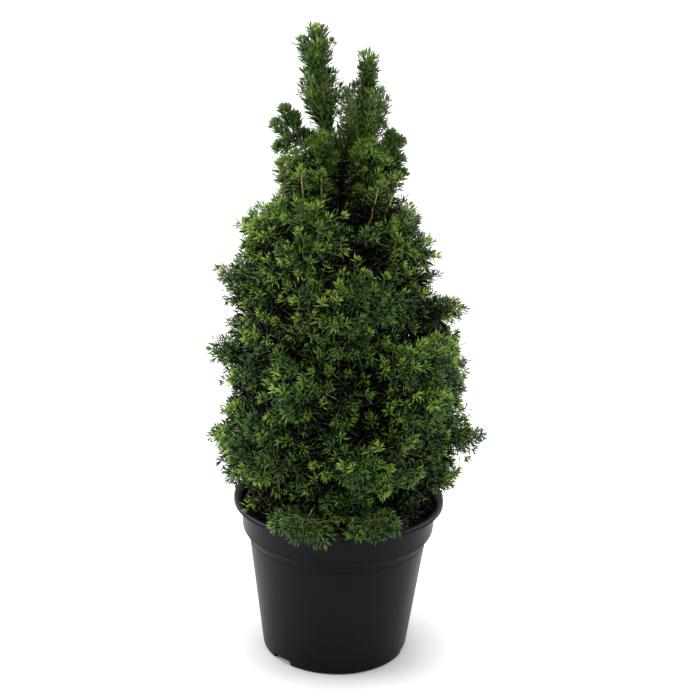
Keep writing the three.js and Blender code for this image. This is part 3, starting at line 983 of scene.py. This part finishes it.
def add_limbs():
    """Trunk, second leader and boughs with the bark's relief."""
    bark = old_bark()
    stem_names = ["trunk", "right_leader"]
    bough_names = [name for name in nodes_in("bark") if name not in stem_names]
    height = TRUNK[:, 2] - TRUNK[0, 2]
    reach = np.interp(height, [0, height[-1]], [6.2, 1.1]) + 2.6 * np.exp(-height / 0.014)
    stems = [tube(TRUNK, reach * MM, 20, 0.22)]
    stems.append(tube(RIGHT_LEADER, np.linspace(2.9, 0.9, len(RIGHT_LEADER)) * MM, 14, 0.2))
    add_piece("stems", *joined(stems), bark, "bark", stem_names)
    boughs = []
    for name in bough_names:
        start, end = limb_ends(name)
        if "twig" in name:
            end = sprig_fork(end)
            start = start - UP * 34 * MM  # so that the limb leaves its stem at a slant
        stem = at_height(nearer_stem(start), start[2])
        line = np.linspace(stem, end, 14)
        line[1:-1, 2] -= np.sin(np.linspace(0, pi, 14))[1:-1] * 1.5 * MM
        radii = np.linspace(2.4, 1.5, 14) if "bough" in name else np.linspace(1.4, 0.9, 14)
        boughs.append(tube(line, radii * MM, 10, 0.2))
    add_piece("boughs", *joined(boughs), bark, "bark", bough_names)


# ---- pot and soil


def arc(middle, radius, first, last, steps):
    """Points on a round stretch of an outline, from one angle in degrees to another."""
    angles = np.radians(np.linspace(first, last, steps + 1))
    return [(middle[0] + radius * cos(a), middle[1] + radius * sin(a)) for a in angles]


def shoulder(foot, head):
    """A soft S-shaped step in the wall, from one radius and height to a wider one."""
    wider, taller = head[0] - foot[0], head[1] - foot[1]
    return [(foot[0] + wider * t * t * (3 - 2 * t), foot[1] + taller * t) for t in np.linspace(0, 1, 13)]


# The pot's outline: radius, height, in mm, up the outside, over the lip and down the inside.
POT_OUTSIDE = [
    *arc((64.5, 2.2), 2.2, -90, 0, 5),
    *shoulder((80.6, 106.5), (87.1, 120.5)),
    (88.6, 142.0),
    *arc((90.2, 142.6), 1.5, 180, 90, 4),
    *arc((94.45, 143.0), 0.75, 180, 360, 6),
]
POT_LIP = arc((93.2, 145.5), 2.0, 0, 125, 9)
POT_INSIDE = [(87.3, 141.6), *shoulder((79.4, 106.5), (85.7, 120.5))[::-1], *arc((63.8, 3.0), 1.4, 0, -90, 4)]
POT_PROFILE = [(0, 0), *POT_OUTSIDE, *POT_LIP, *POT_INSIDE, (0, 1.6)]
BEVEL_FOOT, BEVEL_HEAD, LIP_FOOT, CREST_FOOT = 107.0, 120.0, 142.2, 146.2  # heights in mm
NOTCH_TURNS = (105, 225, 345)  # degrees


def lathe(profile, sides):
    """A closed mesh turned round Z from a profile in mm that starts and ends on the axis."""
    (_, foot), *outline, (_, head) = [(radius * MM, height * MM) for radius, height in profile]
    mesh = bmesh.new()
    corners = [mesh.verts.new(point) for point in rings_of(outline, sides)]
    add_bands(mesh, corners, len(outline) - 1, sides)
    last = len(corners) - sides
    below, above = mesh.verts.new((0, 0, foot)), mesh.verts.new((0, 0, head))
    for j in range(sides):
        after = (j + 1) % sides
        mesh.faces.new([below, corners[after], corners[j]])
        mesh.faces.new([above, corners[last + j], corners[last + after]])
    return mesh


def notch_block(turn_degrees, grow):
    """A block with a rounded top across the foot of the pot's wall, to cut one notch with."""
    half, top, corner, below = 11 * MM, 4.9 * MM, 2.5 * MM, -10 * MM
    outline = [(-half - grow, below), (half + grow, below)]
    for middle, first in ((half - corner, 0), (-half + corner, 90)):
        outline += arc((middle, top - corner), corner + grow, first, first + 90, 6)
    mesh = bmesh.new()
    inner_reach, outer_reach, sides = 57.5 * MM - grow, 90 * MM, len(outline)
    corners = [mesh.verts.new((x, y, z)) for x in (inner_reach, outer_reach) for y, z in outline]
    mesh.faces.new(corners[:sides][::-1])
    mesh.faces.new(corners[sides:])
    add_bands(mesh, corners, 1, sides)
    bmesh.ops.rotate(mesh, verts=mesh.verts, matrix=Matrix.Rotation(radians(turn_degrees), 3, "Z"))
    return mesh


def object_from(mesh, name):
    bmesh.ops.recalc_face_normals(mesh, faces=mesh.faces)
    data = bpy.data.meshes.new(name)
    mesh.to_mesh(data)
    mesh.free()
    return placed(name, data)


def cut_notches(piece, grow=0.0):
    """Cuts the drainage notches through a piece, each wider by `grow` at either side."""
    tools = [object_from(notch_block(turn, grow), "tool") for turn in NOTCH_TURNS]
    for tool in tools:
        modifier = piece.modifiers.new("cut", "BOOLEAN")
        modifier.object, modifier.operation, modifier.solver = tool, "DIFFERENCE", "EXACT"
    evaluated = piece.evaluated_get(bpy.context.evaluated_depsgraph_get())
    data = bpy.data.meshes.new_from_object(evaluated)
    piece.modifiers.clear()
    piece.data = data
    for tool in tools:
        bpy.data.objects.remove(tool)


def add_pot():
    """The pot, with a duller, less reflective copy of its plastic on the lip's outside and the bevel as
    painted shade, and a more reflective copy on the crest as a painted highlight.
    """
    pot = object_from(lathe(POT_PROFILE, 180), "moulded_pot")
    cut_notches(pot)
    # Three copies of one black plastic: the plain one, a duller and less reflective one that is painted
    # shade, and a more reflective one that is a painted highlight.
    for kind, specular, dullest in (("", 0.066, 0.44), ("painted_shade_", 0.044, 0.56), ("painted_highlight_", 0.15, 0.44)):
        pot.data.materials.append(black_plastic(kind + "black_plastic", specular, dullest))
    for face in pot.data.polygons:
        outside = face.normal.dot(Vector((*face.center[:2], 0))) > 0
        height = face.center[2] / MM
        # The lip's outside and the bevel get the painted shade copy, the crest the painted highlight copy.
        painted_shade_face = outside and (height > LIP_FOOT or BEVEL_FOOT < height < BEVEL_HEAD)
        face.material_index = 2 if height > CREST_FOOT else int(painted_shade_face)
    pot.data.shade_smooth()
    pot.data.set_sharp_from_angle(angle=radians(40))
    keep_piece(pot, ["pot"])


SOIL_EDGE = 86.2 * MM
SOIL_SIDE = (
    # just inside the pot's wall, and under it: radius, height, in mm, downwards
    (85.6, 129), (84.9, 122), (84.5, 118.8), (79.0, 108.4), (65.0, 3.2), (64.2, 2.0), (56, 1.9), (0.5, 1.9),
)


def crumbled(radius, angle):
    """A point on the soil's top, with its lumps and crumbs, and lower where it meets the pot."""
    x, y = radius * cos(angle), radius * sin(angle)
    spot = Vector((x, y, 0))
    lump = 2.4 * noise.noise(spot * 38) + 1.5 * noise.noise(spot * 110) + 0.9 * noise.noise(spot * 300)
    crumb = 0.7 * abs(noise.noise(spot * 620))
    settle = -1.2 * max(0.0, (radius / SOIL_EDGE - 0.93) / 0.07)
    return x, y, soil_level(radius) + (lump + crumb + settle) * MM


def add_soil():
    """Lumpy potting mix that fills the pot, with chips and root fibres on it."""
    rings, sides = 72, 210
    angles = 2 * pi * np.arange(sides) / sides
    radii = SOIL_EDGE * np.linspace(0, 1, rings + 1)[1:]
    points = [(0, 0, soil_level(0)), *(crumbled(radius, angle) for radius in radii for angle in angles)]
    points += rings_of([(radius * MM, height * MM) for radius, height in SOIL_SIDE], sides)
    faces = []
    for a, b, c, d in bands(rings - 1 + len(SOIL_SIDE), sides, first=1):
        faces += [(a, c, d), (a, d, b)]
    last = len(points) - sides
    for j in range(sides):
        after = (j + 1) % sides
        faces += [(0, 1 + j, 1 + after), (last, last + after, last + j)]
    soil = add_piece("potting_mix", points, np.array(faces), potting_mix(), "soil", ["soil"])
    cut_notches(soil, 0.3 * MM)

    for name, color, count, size in (
        ("bark_bits", (0.17, 0.13, 0.11), 620, 4.6),
        ("rusty_bits", (0.27, 0.165, 0.13), 260, 3.8),
        ("pale_bits", (0.72, 0.62, 0.56), 240, 3.6),
    ):
        add_piece(name, *soil_bits(count, size * MM), plain(name, color, 0.85, 0.2), "soil")
    add_piece("root_fibres", *soil_fibres(170), plain("root_fibre", (0.26, 0.17, 0.12), 0.8, 0.2), "soil")


FLAKE = np.array([
    (-1, -0.7, -1), (0.9, -1, -1), (1, 0.8, -1), (-0.8, 1, -1),
    (-0.8, -0.9, 1), (1, -0.8, 0.8), (0.8, 1, 1), (-1, 0.7, 0.9),
])
FLAKE_SIDES = np.array([(0, 3, 2, 1), (4, 5, 6, 7), (0, 1, 5, 4), (1, 2, 6, 5), (2, 3, 7, 6), (3, 0, 4, 7)])


def soil_bits(count, size):
    """Chips lying on the soil, each a skewed flake with its own proportions."""
    parts = []
    for _ in range(count):
        radius, angle = 82 * MM * sqrt(uniform(0.03, 1)), uniform(*ANY_TURN)
        length, width, thickness = uniform(0.35, 1.0), uniform(0.35, 0.8), uniform(0.15, 0.4)
        scale = size * length * np.array([1, width, thickness]) / 2
        tilt = Matrix.Rotation(uniform(*ANY_TURN), 3, "Z") @ Matrix.Rotation(rng.normal(0, 0.45), 3, "X")
        place = way(angle) * radius + UP * (soil_level(radius) + uniform(0.6, 2.4) * MM)
        shape = FLAKE * scale + rng.normal(0, 0.12, FLAKE.shape) * scale
        parts.append((shape @ np.array(tilt).T + place, FLAKE_SIDES))
    return joined(parts)


def soil_fibres(count):
    """Fine bowed root fibres lying on the soil, clear of the pot's wall."""
    parts = []
    for _ in range(count):
        radius, angle = 80 * MM * sqrt(uniform(0.05, 1)), uniform(*ANY_TURN)
        start = way(angle) * radius + UP * (soil_level(radius) + uniform(1, 2.6) * MM)
        heading = uniform(*ANY_TURN)
        reach = uniform(5, 14) * MM
        end = start + reach * np.array([cos(heading), sin(heading), uniform(-0.15, 0.25)])
        if hypot(end[0], end[1]) > 83 * MM:
            continue
        bow = np.array([-sin(heading), cos(heading), 0.3]) * reach * uniform(-0.4, 0.4)
        line = curve(start, (end - start) * 0.3 + bow, (end - start) * 0.3 - bow, end, 8)
        parts.append(tube(line, np.linspace(0.35, 0.15, 8) * MM, 4))
    return joined(parts)


# ---- the scene

add_camera()
add_studio()
add_pot()
add_soil()
add_plant()

bpy.context.view_layer.update()
